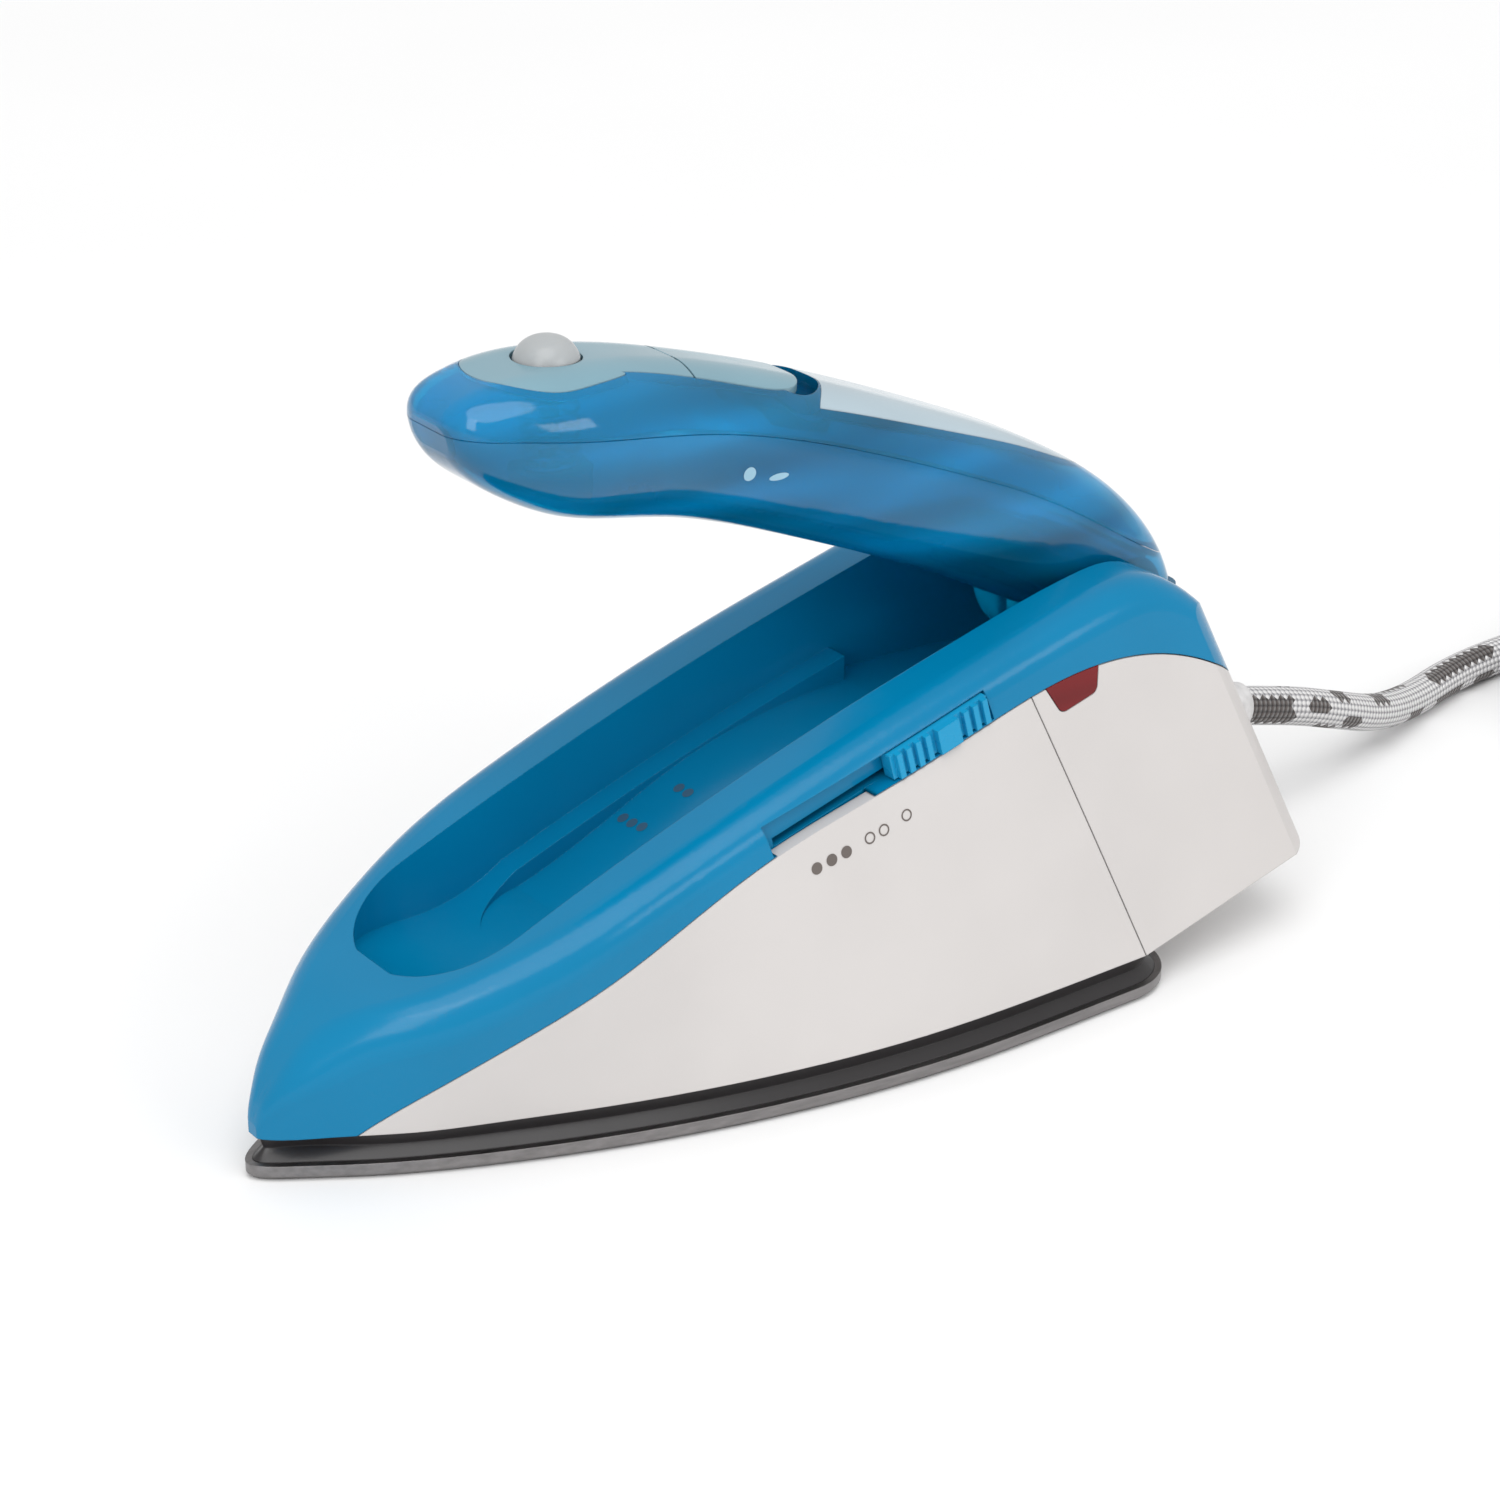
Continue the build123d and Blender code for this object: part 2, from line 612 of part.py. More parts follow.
# ---------------------------------------------------------------- handle pieces
FLANGE_TOP = 124.7
FLANGE_THICK = 1.4
DOME_TOP = 131.2
SEAT_TOP = 109.4
FILLER_X = 6.0


def handle_pieces():
    """Tank, top shell and the three inlays that follow the handle's top surface."""
    outside = handle_form(0)
    inside = handle_form(TANK_WALL)
    skin_line = handle_form(PANEL_THICK)
    recess_line = handle_form(PANEL_THICK + 0.1)
    top_side = above_parting(-1.0)
    axle = barrel(PIN_RADIUS + 0.05, 20)
    hollow = inside - barrel(8.5, 20)
    tank = outside + round_barrel()
    tank = tank - hollow - above_parting() - axle
    top = ((outside - hollow) & above_parting(-0.12)) - axle
    top += (thumb_notch(4.2, 1.6) & handle_form(TANK_WALL - 0.1)) - axle
    for plan in (button_panel_plan(0.15), filler_lid_plan(0.25), rear_panel_plan(0.15)):
        top -= (upright(plan) & top_side) - recess_line
    top -= thumb_notch(3.0)
    top -= lid_barrel(LID_BARREL_RADIUS + 0.3, LID_BARREL_HALF + 2.4)
    top -= post(BUTTON_X, 0, 118, 140, BUTTON_RADIUS + 0.5)
    top -= post(FILLER_X, 0, 112, 140, 5.2)
    inlay = (outside - skin_line) & top_side
    panel = (inlay & upright(button_panel_plan())) - post(BUTTON_X, 0, 118, 140, BUTTON_RADIUS + 0.4)
    panel -= lid_barrel(LID_BARREL_RADIUS + 0.3, LID_BARREL_HALF + 2.4)
    lid = (inlay & upright(filler_lid_plan())) + lid_barrel(LID_BARREL_RADIUS, LID_BARREL_HALF)
    lid += (post(FILLER_X, 0, 110, 126.0, 3.4) & handle_form(PANEL_THICK - 0.2)) - handle_form(PANEL_THICK + 2.0)
    rear = inlay & upright(rear_panel_plan())
    seat = (post(BUTTON_X, 0, 95, SEAT_TOP, 6.6) & inside) - post(BUTTON_X, 0, 104.6, 120, 2.0)
    return {"tank_shell": tank, "handle_top_shell": top, "button_panel": panel, "filler_lid": lid,
            "rear_panel": rear, "valve_seat": seat}


def steam_button():
    """Domed button turned about its own axis, with the flange that holds it in and the valve stem."""
    flange_radius = BUTTON_RADIUS + 1.6
    low_z = FLANGE_TOP - FLANGE_THICK
    half = Curve() + [
        Polyline((0, DOME_TOP), (0, 107.6), (1.6, 107.6), (1.6, low_z), (flange_radius, low_z),
                 (flange_radius, FLANGE_TOP), (BUTTON_RADIUS, FLANGE_TOP), (BUTTON_RADIUS, DOME_TOP - 3.6)),
        Spline((BUTTON_RADIUS, DOME_TOP - 3.6), (3.6, DOME_TOP - 1.0), (0, DOME_TOP), tangents=[(-0.3, 1), (-1, 0)]),
    ]
    return Pos(BUTTON_X, 0, 0) * revolve(Plane.XZ * make_face(half), Axis.Z)


def button_spring():
    low = SEAT_TOP + 0.5
    high = FLANGE_TOP - FLANGE_THICK - 0.5
    coil = Helix(pitch=(high - low) / 6, height=high - low, radius=4.4)
    wire = sweep(Plane(origin=coil @ 0, z_dir=coil % 0) * Circle(0.4), path=coil)
    return Pos(BUTTON_X, 0, low) * wire


# ---------------------------------------------------------------- cord pieces
TAIL_X = (-218.0, -202.0)
TAIL_Z = 10.6
TIE_WIDTH = 11.0
PLUG_LENGTH = 34.0


def strain_relief(inner):
    """Tapered boot with a flange behind the cover's wall."""
    boot = loft([relief_plane(-5.2) * Circle(5.9), relief_plane(RELIEF_LENGTH) * Circle(4.6)])
    flange = extrude(relief_plane(-5.2) * Circle(8.4), 1.8)
    return boot + (flange & inner)


def cord_coil():
    """Outer shape of the wound cord, with the stubs where the free ends join it."""
    x, y = COIL_CENTRE
    band = RectangleRounded(2 * COIL_HALF_BAND, COIL_HEIGHT, CORD_RADIUS - 0.2)
    ring = revolve(Plane.XZ * Pos(COIL_MIDDLE, COIL_HEIGHT / 2) * band, Axis.Z)
    ring = Pos(x, y, 0) * ring
    stub_z = CORD_RADIUS + 0.1
    stub_end_x = x + 10
    ring += rod((STUB_X, y - OUTER_TURN, stub_z), (stub_end_x, y - OUTER_TURN, stub_z), CORD_RADIUS)
    ring += rod((TAIL_X[0], y + OUTER_TURN, TAIL_Z), (stub_end_x, y + OUTER_TURN, TAIL_Z), CORD_RADIUS)
    return ring


def tie_block(thick):
    x, y = COIL_CENTRE
    inner_x = x - COIL_MIDDLE + COIL_HALF_BAND
    outer_x = x - COIL_MIDDLE - COIL_HALF_BAND
    return block(outer_x - thick, inner_x + thick, y - TIE_WIDTH / 2, y + TIE_WIDTH / 2, 0, COIL_HEIGHT + thick)


def plug_pieces():
    """Flat-sided plug lying on the table with its blades towards +X."""
    y = COIL_CENTRE[1] + OUTER_TURN
    start = TAIL_X[1]
    boot = loft([Plane(origin=(start, y, TAIL_Z), z_dir=(1, 0, 0)) * Circle(4.6),
                 Plane(origin=(start + 20, y, TAIL_Z), z_dir=(1, 0, 0)) * Circle(6.4)])
    face = RectangleRounded(20.0, 24.0, 5.0)
    near = RectangleRounded(15.0, 17.0, 5.0)
    sections = [Plane(origin=(start + run, y, TAIL_Z), x_dir=(0, 0, 1), z_dir=(1, 0, 0)) * shape
                for run, shape in ((20, near), (28, face), (20 + PLUG_LENGTH, face))]
    body = boot + loft(sections, ruled=True)
    face_x = start + 20 + PLUG_LENGTH
    blades = [block(face_x, face_x + 17, y + side - 0.75, y + side + 0.75, TAIL_Z - 3.2, TAIL_Z + 3.2)
              for side in (-6.35, 6.35)]
    ground = rod((face_x, y, TAIL_Z - 6.6), (face_x + 19, y, TAIL_Z - 6.6), 2.4)
    return body, group(*blades, ground)


# ---------------------------------------------------------------- build

def build():
    outer = body_form(0)
    inner = body_form(WALL)
    lid_z = CASTING_Z + GASKET_THICK
    lid_top = lid_z + LID_THICK
    skirt, rear = white_covers(outer, inner)
    parts = {
        "soleplate": soleplate(),
        "sole_surround": sole_surround(),
        "chamber_gasket": chamber_plate(12.0, CASTING_Z, GASKET_THICK)
        - (extrude(inner_outline(14.6), 20) & block(STEAM_FRONT_X + 2.5, 120, -40, 40, 0, 20)),
        "steam_chamber_lid": chamber_plate(12.0, lid_z, LID_THICK) - post(INLET_X, 0, 0, 20, 1.4),
        "heating_element": heating_element(),
        "element_terminals": group(*[
            block(ELEMENT_END_X - 7.5, ELEMENT_END_X, y - 0.5, y + 0.5, ELEMENT_Z - 2.2, ELEMENT_Z + 2.2)
            for y in (-ELEMENT_HALF_SPAN, ELEMENT_HALF_SPAN)]),
        "heat_shield_frame": heat_shield_frame(),
        "frame_screws": group(*[post(x, y, FRAME_TOP, FRAME_TOP + 2.0, 2.8) for x, y in LEG_PLACES]),
        "thermostat": thermostat(),
        "thermostat_spindle": thermostat_spindle(),
        "thermal_fuse": Pos(-38, -8, CASTING_Z + 2.1) * Rot(90, 0, 0) * Cylinder(2.0, 16),
        "terminal_block": terminal_block(),
        "terminal_screws": group(*[post(-68, y, TERMINAL_Z[0] + 4.2, TERMINAL_Z[1] - 0.6, 2.3)
                                   for y in TERMINAL_Y]),
        "neon_lamp": Pos(-46.2, 26.4, 58.0) * Rot(0, 90, 0) * Cylinder(2.0, 8),
        "front_skirt": skirt,
        "rear_cover": rear,
        "rear_screws": group(*[post(SCREW_X, y, 12.8, 14.6, 3.0) for y in (-SCREW_Y, SCREW_Y)]),
        "top_cover": top_cover(outer, inner),
        "lamp_lens": (outer & lens_region()) - body_form(1.4),
        "temperature_slider": temperature_slider(),
        "hinge_pin": across(Pos(PIVOT_X, PIVOT_Z) * (Circle(PIN_RADIUS) - Circle(1.4)), 24.0),
        "friction_washers": group(*[
            extrude(Plane(origin=(PIVOT_X, side * (BARREL_HALF + 0.4), PIVOT_Z), z_dir=(0, side, 0))
                    * (Circle(6.5) - Circle(PIN_RADIUS + 0.05)), 1.7) for side in (-1, 1)]),
        "pin_elbow": across(Pos(PIVOT_X, PIVOT_Z) * Circle(3.4)) & block(-90, -60, -26.8, -24.0, 0, 90) & inner,
        "water_tube": bent_rod([(PIVOT_X, -25.4, PIVOT_Z - 4.0), (PIVOT_X + 1, -25.2, 42), (-46, -21, 24),
                                (10, -12, 21.4), (INLET_X, 0, 20.4), (INLET_X, 0, lid_top + 4.0)], 4.0, 1.7),
        "drip_valve": post(INLET_X, 0, lid_top, lid_top + 4.0, 3.0),
        **handle_pieces(),
        "steam_button": steam_button(),
        "button_spring": button_spring(),
        "strain_relief": strain_relief(inner),
        "cord_tube": cord_tube(),
    }
    elbow_cut = post(PIVOT_X, -25.4, PIVOT_Z - 10, PIVOT_Z - 2.0, 2.4)
    parts["pin_elbow"] -= elbow_cut
    lead_start = relief_plane(-18.0)
    lead = extrude(lead_start * Circle(CORD_RADIUS), 12.8)
    parts["inner_lead"] = lead
    clamp = (block(-89, -83, -9, 9, 10, 40.5) & inner) - extrude(relief_plane(-30) * Circle(CORD_RADIUS), 40)
    parts["cord_clamp"] = clamp
    lead_end = lead_start.origin
    parts["lead_wires"] = group(*[
        rod((lead_end.X + 0.35, y / 5, lead_end.Z), (-74, y, 33.5), 0.9) for y in TERMINAL_Y])
    coil = cord_coil()
    notch = tie_block(0) & block(-400, 0, -400, 400, 0, 0.9)
    coil -= notch
    parts["cord_coil"] = coil
    parts["cord_tie"] = tie_block(1.0) - coil
    y_tail = COIL_CENTRE[1] + OUTER_TURN
    parts["cord_tail"] = rod((TAIL_X[0], y_tail, TAIL_Z), (TAIL_X[1], y_tail, TAIL_Z), CORD_RADIUS)
    parts["plug_body"], parts["plug_blades"] = plug_pieces()
    return parts


def main():
    os.makedirs("parts", exist_ok=True)
    for name, shape in build().items():
        export_step(shape, f"parts/{name}.step")
        box = shape.bounding_box()
        print(name, len(shape.solids()), round(shape.volume), shape.is_valid,
              [round(v, 1) for v in (*box.min, *box.max)])


main()
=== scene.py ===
"""Looks of a travel steam iron: finishes for its CAD pieces, printed marks, mains cord and studio.

Metres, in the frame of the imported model: +X to the nose, +Y to the side with the slider, +Z up.
"""

from __future__ import annotations

import logging
import math
from dataclasses import dataclass, field
from enum import Enum

import bpy
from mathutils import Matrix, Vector
from mathutils.bvhtree import BVHTree


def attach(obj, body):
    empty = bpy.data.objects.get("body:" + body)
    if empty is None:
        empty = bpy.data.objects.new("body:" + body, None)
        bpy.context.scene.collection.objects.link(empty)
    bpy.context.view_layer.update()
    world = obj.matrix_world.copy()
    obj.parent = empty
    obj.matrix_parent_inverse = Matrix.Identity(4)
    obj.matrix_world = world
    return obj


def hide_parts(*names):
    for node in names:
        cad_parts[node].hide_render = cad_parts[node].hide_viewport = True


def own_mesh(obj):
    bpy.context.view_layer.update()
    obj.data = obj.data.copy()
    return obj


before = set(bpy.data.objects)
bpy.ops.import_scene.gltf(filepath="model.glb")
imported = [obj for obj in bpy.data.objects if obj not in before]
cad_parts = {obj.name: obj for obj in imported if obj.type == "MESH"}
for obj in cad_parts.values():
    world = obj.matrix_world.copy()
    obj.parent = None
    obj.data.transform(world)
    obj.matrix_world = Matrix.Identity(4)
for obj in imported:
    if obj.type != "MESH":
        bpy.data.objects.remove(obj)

LOG = logging.getLogger("iron")
Colour = tuple[float, float, float]
Point = tuple[float, float, float]
Pair = tuple[float, float]
Span = tuple[float, float]
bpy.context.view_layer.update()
PLASTIC_IOR = 1.5
COAT_ROUGHNESS = 0.12


class Direction(Enum):
    """Straight line along which a printed mark is laid on a surface."""

    FROM_SLIDER_SIDE = (0.0, -1.0, 0.0)
    FROM_ABOVE = (0.0, 0.0, -1.0)


class MarkShape(Enum):
    """Form of a printed mark."""

    DOT = "dot"
    RING = "ring"
    BAR = "bar"


# ---------------------------------------------------------------- node graph helper
class Graph:
    """Short way to build a material's node tree."""

    def __init__(self, name: str) -> None:
        """Start an empty material.

        Args:
            name: Name of the material.
        """
        self.material = bpy.data.materials.new(name)
        self.material.use_nodes = True
        self.tree = self.material.node_tree
        self.tree.nodes.clear()
        self.output = self.add("ShaderNodeOutputMaterial")
        self.shader = self.add("ShaderNodeBsdfPrincipled")
        self.link(self.shader, "BSDF", self.output, "Surface")

    def add(self, kind: str, **values: object) -> bpy.types.Node:
        """Add a node and set its fields or unlinked inputs.

        Args:
            kind: Blender's name for the node type.
            **values: Attribute names, or input names with spaces written as underscores.

        Returns:
            The new node.
        """
        node = self.tree.nodes.new(kind)
        for key, value in values.items():
            socket = node.inputs.get(key.replace("_", " "))
            if socket is not None:
                socket.default_value = value
            else:
                setattr(node, key, value)
        return node

    def link(self, source: bpy.types.Node, out: str | int, target: bpy.types.Node, into: str | int) -> None:
        """Join an output to an input."""
        self.tree.links.new(source.outputs[out], target.inputs[into])

    def set(self, **values: object) -> None:
        """Set the main shader's own sockets."""
        for key, value in values.items():
            self.shader.inputs[key.replace("_", " ")].default_value = value

    def math(self, operation: str, first: object, second: object = 0.5) -> bpy.types.Node:
        """Add a maths node whose operands are numbers or (node, output) pairs.

        Args:
            operation: Blender's name for the operation.
            first: First operand.
            second: Second operand.

        Returns:
            The maths node.
        """
        node = self.add("ShaderNodeMath", operation=operation)
        for index, operand in enumerate((first, second)):
            if isinstance(operand, tuple):
                self.link(operand[0], operand[1], node, index)
            else:
                node.inputs[index].default_value = operand
        return node

    def noise(self, scale: float, detail: float = 3.0, stretch: Point = (1.0, 1.0, 1.0)) -> bpy.types.Node:
        """Add noise fixed to the object.

        Args:
            scale: Cells per metre.
            detail: Octaves of finer noise.
            stretch: Scale along each axis.

        Returns:
            The noise node.
        """
        place = self.add("ShaderNodeTexCoord")
        mapping = self.add("ShaderNodeMapping")
        mapping.inputs["Scale"].default_value = stretch
        noise = self.add("ShaderNodeTexNoise", Scale=scale, Detail=detail)
        self.link(place, "Object", mapping, "Vector")
        self.link(mapping, "Vector", noise, "Vector")
        return noise

    def ramp(self, source: bpy.types.Node, out: str | int, low: Colour, high: Colour,
             start: float = 0.35, end: float = 0.65) -> bpy.types.Node:
        """Turn a value into a colour between two stops.

        Args:
            source: Node that gives the value.
            out: Its output.
            low: Colour at the start.
            high: Colour at the end.
            start: Value of the first stop.
            end: Value of the second stop.

        Returns:
            The colour ramp node.
        """
        ramp = self.add("ShaderNodeValToRGB")
        ramp.color_ramp.elements[0].position = start
        ramp.color_ramp.elements[1].position = end
        ramp.color_ramp.elements[0].color = (*low, 1.0)
        ramp.color_ramp.elements[1].color = (*high, 1.0)
        self.link(source, out, ramp, "Fac")
        return ramp

    def spread(self, source: bpy.types.Node, out: str | int, low: float, high: float) -> bpy.types.Node:
        """Map a value of 0 to 1 onto another range."""
        node = self.add("ShaderNodeMapRange")
        node.inputs["To Min"].default_value = low
        node.inputs["To Max"].default_value = high
        self.link(source, out, node, "Value")
        return node

    def relief(self, source: bpy.types.Node, out: str | int, depth: float, edge: float = 0.0) -> None:
        """Give the shader a bump from a height, over softened edges.

        Args:
            source: Node that gives the height.
            out: Its output.
            depth: Height of the relief in metres.
            edge: Radius in metres that sharp edges appear rounded to.
        """
        bump = self.add("ShaderNodeBump", Distance=depth, Strength=1.0)
        self.link(source, out, bump, "Height")
        if edge > 0.0:
            soft = self.add("ShaderNodeBevel", samples=4)
            soft.inputs["Radius"].default_value = edge
            self.link(soft, "Normal", bump, "Normal")
        self.link(bump, "Normal", self.shader, "Normal")


def stand(name: str, data: bpy.types.ID) -> bpy.types.Object:
    """Put a new object with this data in the scene."""
    piece = bpy.data.objects.new(name, data)
    bpy.context.scene.collection.objects.link(piece)
    return piece


def aim(piece: bpy.types.Object, way: Vector) -> None:
    """Turn a light or the camera to look along a direction."""
    piece.rotation_mode = "QUATERNION"
    piece.rotation_quaternion = way.to_track_quat("-Z", "Y")


def shade(colour: Colour, factor: float) -> Colour:
    """Return the colour made lighter or darker by a factor."""
    return tuple(min(1.0, channel * factor) for channel in colour)


# ---------------------------------------------------------------- finishes
@dataclass(frozen=True)
class MouldedPlastic:
    """Opaque moulded plastic with fine spark-eroded grain and slightly uneven gloss."""

    name: str
    colour: Colour
    gloss: Span = (0.22, 0.34)
    grain: float = 2400.0
    grain_depth: float = 0.000006
    mottling: float = 0.05
    coat: float = 0.15
    edge: float = 0.0003
    skin_depth: float = 0.0
    shine: float = 0.4
    clouds: float = 38.0
    rub: float = 160.0

    def material(self) -> bpy.types.Material:
        """Return the finish as a material."""
        graph = Graph(self.name)
        clouds = graph.noise(self.clouds, 2.0)
        tint = graph.ramp(clouds, "Fac", shade(self.colour, 1.0 - self.mottling),
                          shade(self.colour, 1.0 + self.mottling))
        graph.link(tint, "Color", graph.shader, "Base Color")
        rub = graph.noise(self.rub, 5.0)
        gloss = graph.spread(rub, "Fac", *self.gloss)
        graph.link(gloss, "Result", graph.shader, "Roughness")
        grain = graph.noise(self.grain, 2.0)
        graph.relief(grain, "Fac", self.grain_depth, self.edge)
        graph.set(IOR=PLASTIC_IOR, Coat_Weight=self.coat, Coat_Roughness=COAT_ROUGHNESS,
                  Specular_IOR_Level=self.shine)
        if self.skin_depth > 0.0:
            graph.set(Subsurface_Weight=0.25, Subsurface_Scale=self.skin_depth,
                      Subsurface_Radius=(1.0, 0.9, 0.8))
        return graph.material


@dataclass(frozen=True)
class TintedShell:
    """Tinted see-through plastic with painted highlight and painted shade: lighter and darker bands stretched
    along it.
    """

    name: str
    colour: Colour
    clearness: float = 0.5
    roughness: float = 0.07
    edge: float = 0.0002
    ior: float = 1.49
    painted_bands: float = 34.0
    painted_band_lay: Point = (0.22, 1.0, 2.0)
    # Painted highlight and painted shade: how much darker and lighter than the tint the bands are.
    painted_band_shades: Span = (0.55, 1.3)
    smear: float = 140.0
    ripple: float = 60.0
    ripple_lay: Point = (0.4, 1.0, 1.0)
    ripple_depth: float = 0.00006

    def material(self) -> bpy.types.Material:
        """Return the finish as a material."""
        graph = Graph(self.name)
        # Painted highlight and painted shade: stretched noise lays lighter and darker bands of the tint along
        # the shell, in place of light streaks and dark bands.
        painted_bands = graph.noise(self.painted_bands, 2.0, self.painted_band_lay)
        deep, pale = (shade(self.colour, factor) for factor in self.painted_band_shades)
        tint = graph.ramp(painted_bands, "Fac", deep, pale, 0.36, 0.64)
        graph.link(tint, "Color", graph.shader, "Base Color")
        smear = graph.noise(self.smear, 4.0)
        gloss = graph.spread(smear, "Fac", self.roughness * 0.6, self.roughness * 1.6)
        graph.link(gloss, "Result", graph.shader, "Roughness")
        ripple = graph.noise(self.ripple, 2.0, self.ripple_lay)
        graph.relief(ripple, "Fac", self.ripple_depth, self.edge)
        graph.set(IOR=self.ior, Transmission_Weight=self.clearness, Coat_Weight=0.08, Coat_Roughness=0.1,
                  Specular_IOR_Level=0.3)
        return graph.material


@dataclass(frozen=True)
class WorkedMetal:
    """Bare metal with fine directional scratches."""

    name: str
    colour: Colour
    gloss: Span = (0.2, 0.38)
    lay: Point = (0.06, 1.0, 1.0)
    scratch: float = 900.0
    scratch_depth: float = 0.000008
    edge: float = 0.0002

    def material(self) -> bpy.types.Material:
        """Return the finish as a material."""
        graph = Graph(self.name)
        lines = graph.noise(self.scratch, 4.0, self.lay)
        tint = graph.ramp(lines, "Fac", shade(self.colour, 0.86), shade(self.colour, 1.08))
        graph.link(tint, "Color", graph.shader, "Base Color")
        gloss = graph.spread(lines, "Fac", *self.gloss)
        graph.link(gloss, "Result", graph.shader, "Roughness")
        graph.relief(lines, "Fac", self.scratch_depth, self.edge)
        graph.set(Metallic=1.0)
        return graph.material


@dataclass(frozen=True)
class SoftRubber:
    """Matt rubber or silicone with a powdery surface."""

    name: str
    colour: Colour
    roughness: float = 0.62
    dust: float = 420.0
    dust_depth: float = 0.00002
    edge: float = 0.0003

    def material(self) -> bpy.types.Material:
        """Return the finish as a material."""
        graph = Graph(self.name)
        dust = graph.noise(self.dust, 5.0)
        tint = graph.ramp(dust, "Fac", shade(self.colour, 0.88), shade(self.colour, 1.1))
        graph.link(tint, "Color", graph.shader, "Base Color")
        gloss = graph.spread(dust, "Fac", self.roughness - 0.1, self.roughness + 0.12)
        graph.link(gloss, "Result", graph.shader, "Roughness")
        graph.relief(dust, "Fac", self.dust_depth, self.edge)
        graph.set(Specular_IOR_Level=0.35, Sheen_Weight=0.08)
        return graph.material


@dataclass(frozen=True)
class BraidedYarn:
    """Woven cord cover: light yarns crossed both ways, with short patches of dark ones and painted shade in
    the hollows between yarns.
    """

    name: str
    light: Colour = (0.78, 0.77, 0.77)
    dark: Colour = (0.105, 0.090, 0.085)
    crossings: float = 10.0
    pitch: float = 0.0026
    # Colour of the painted shade in the hollows between yarns.
    painted_hollow_shade: Colour = (0.28, 0.28, 0.30)
    patch_run: float = 4.6
    patch_turn: float = 3.0
    patch_shift: float = 0.37
    light_share: float = 0.73
    yarn_depth: float = 0.00045

    def material(self) -> bpy.types.Material:
        """Return the finish as a material; it reads the cord's own run and turn."""
        graph = Graph(self.name)
        place = graph.add("ShaderNodeUVMap", uv_map="run_turn")
        parts = graph.add("ShaderNodeSeparateXYZ")
        graph.link(place, "UV", parts, "Vector")
        run = graph.math("DIVIDE", (parts, "X"), self.pitch)
        turn = graph.math("MULTIPLY", (parts, "Y"), self.crossings)
        rising = graph.math("ADD", (run, 0), (turn, 0))
        falling = graph.math("SUBTRACT", (run, 0), (turn, 0))
        heights = []
        for lane in (rising, falling):
            angle = graph.math("MULTIPLY", (lane, 0), math.tau)
            wave = graph.math("SINE", (angle, 0))
            heights.append(graph.math("MULTIPLY_ADD", (wave, 0), 0.5))
            heights[-1].inputs[2].default_value = 0.5
        over = graph.math("MAXIMUM", (heights[0], 0), (heights[1], 0))
        under = graph.math("MULTIPLY", (heights[0], 0), (heights[1], 0))
        weave = graph.math("SUBTRACT", (over, 0), (under, 0))
        step_up = graph.math("FLOOR", (rising, 0))
        step_down = graph.math("FLOOR", (falling, 0))
        across = graph.math("SUBTRACT", (step_up, 0), (step_down, 0))
        band = graph.math("FLOOR", (graph.math("DIVIDE", (across, 0), self.patch_turn), 0))
        forward = graph.math("ADD", (step_up, 0), (step_down, 0))
        along = graph.math("DIVIDE", (forward, 0), self.patch_run)
        shifted = graph.math("ADD", (along, 0), (graph.math("MULTIPLY", (band, 0), self.patch_shift), 0))
        patch = graph.add("ShaderNodeCombineXYZ")
        graph.link(graph.math("FLOOR", (shifted, 0)), 0, patch, "X")
        graph.link(band, 0, patch, "Y")
        chance = graph.add("ShaderNodeTexWhiteNoise", noise_dimensions="2D")
        graph.link(patch, "Vector", chance, "Vector")
        dark = graph.math("GREATER_THAN", (chance, "Value"), self.light_share)
        yarn = graph.add("ShaderNodeMix", data_type="RGBA")
        yarn.inputs["A"].default_value = (*self.light, 1.0)
        yarn.inputs["B"].default_value = (*self.dark, 1.0)
        graph.link(dark, 0, yarn, "Factor")
        # Painted shade: the yarn colour is darkened where the weave dips between crossing yarns.
        painted_hollow_shade = graph.ramp(weave, 0, self.painted_hollow_shade, (1.0, 1.0, 1.0), 0.05, 0.6)
        tone = graph.add("ShaderNodeMix", data_type="RGBA", blend_type="MULTIPLY")
        tone.inputs["Factor"].default_value = 1.0
        graph.link(yarn, "Result", tone, "A")
        graph.link(painted_hollow_shade, "Color", tone, "B")
        graph.link(tone, "Result", graph.shader, "Base Color")
        graph.relief(weave, 0, self.yarn_depth)
        graph.set(Roughness=0.82, Sheen_Weight=0.35, Sheen_Roughness=0.5, Specular_IOR_Level=0.25)
        return graph.material


Finish = MouldedPlastic | TintedShell | WorkedMetal | SoftRubber | BraidedYarn

COVER_BLUE = MouldedPlastic("cover_blue", (0.0, 0.187, 0.372), (0.17, 0.25), mottling=0.03, coat=0.12,
                            shine=0.2)
KNOB_BLUE = MouldedPlastic("knob_blue", (0.008, 0.29, 0.53), (0.22, 0.32), coat=0.04, edge=0.0002, shine=0.25)
WARM_WHITE = MouldedPlastic("warm_white", (0.585, 0.56, 0.548), (0.34, 0.46), mottling=0.02, coat=0.0,
                            shine=0.3)
INLAY_GREY = MouldedPlastic("inlay_grey", (0.19, 0.34, 0.41), (0.14, 0.24), coat=0.25)
REAR_INLAY = MouldedPlastic("rear_inlay", (0.40, 0.50, 0.56), (0.12, 0.22), coat=0.3)
MILKY = MouldedPlastic("milky_button", (0.40, 0.42, 0.43), (0.25, 0.35), coat=0.15, skin_depth=0.003)
TANK_BLUE = TintedShell("tank_blue", (0.0, 0.355, 0.66), 0.70, 0.08)
LENS_RED = TintedShell("lens_red", (0.15, 0.002, 0.004), 0.15, 0.09)
LAMP_CLEAR = TintedShell("lamp_clear", (0.9, 0.62, 0.42), 0.8)
SOLE_METAL = WorkedMetal("sole_metal", (0.25, 0.24, 0.24), (0.3, 0.42), scratch_depth=0.000003)
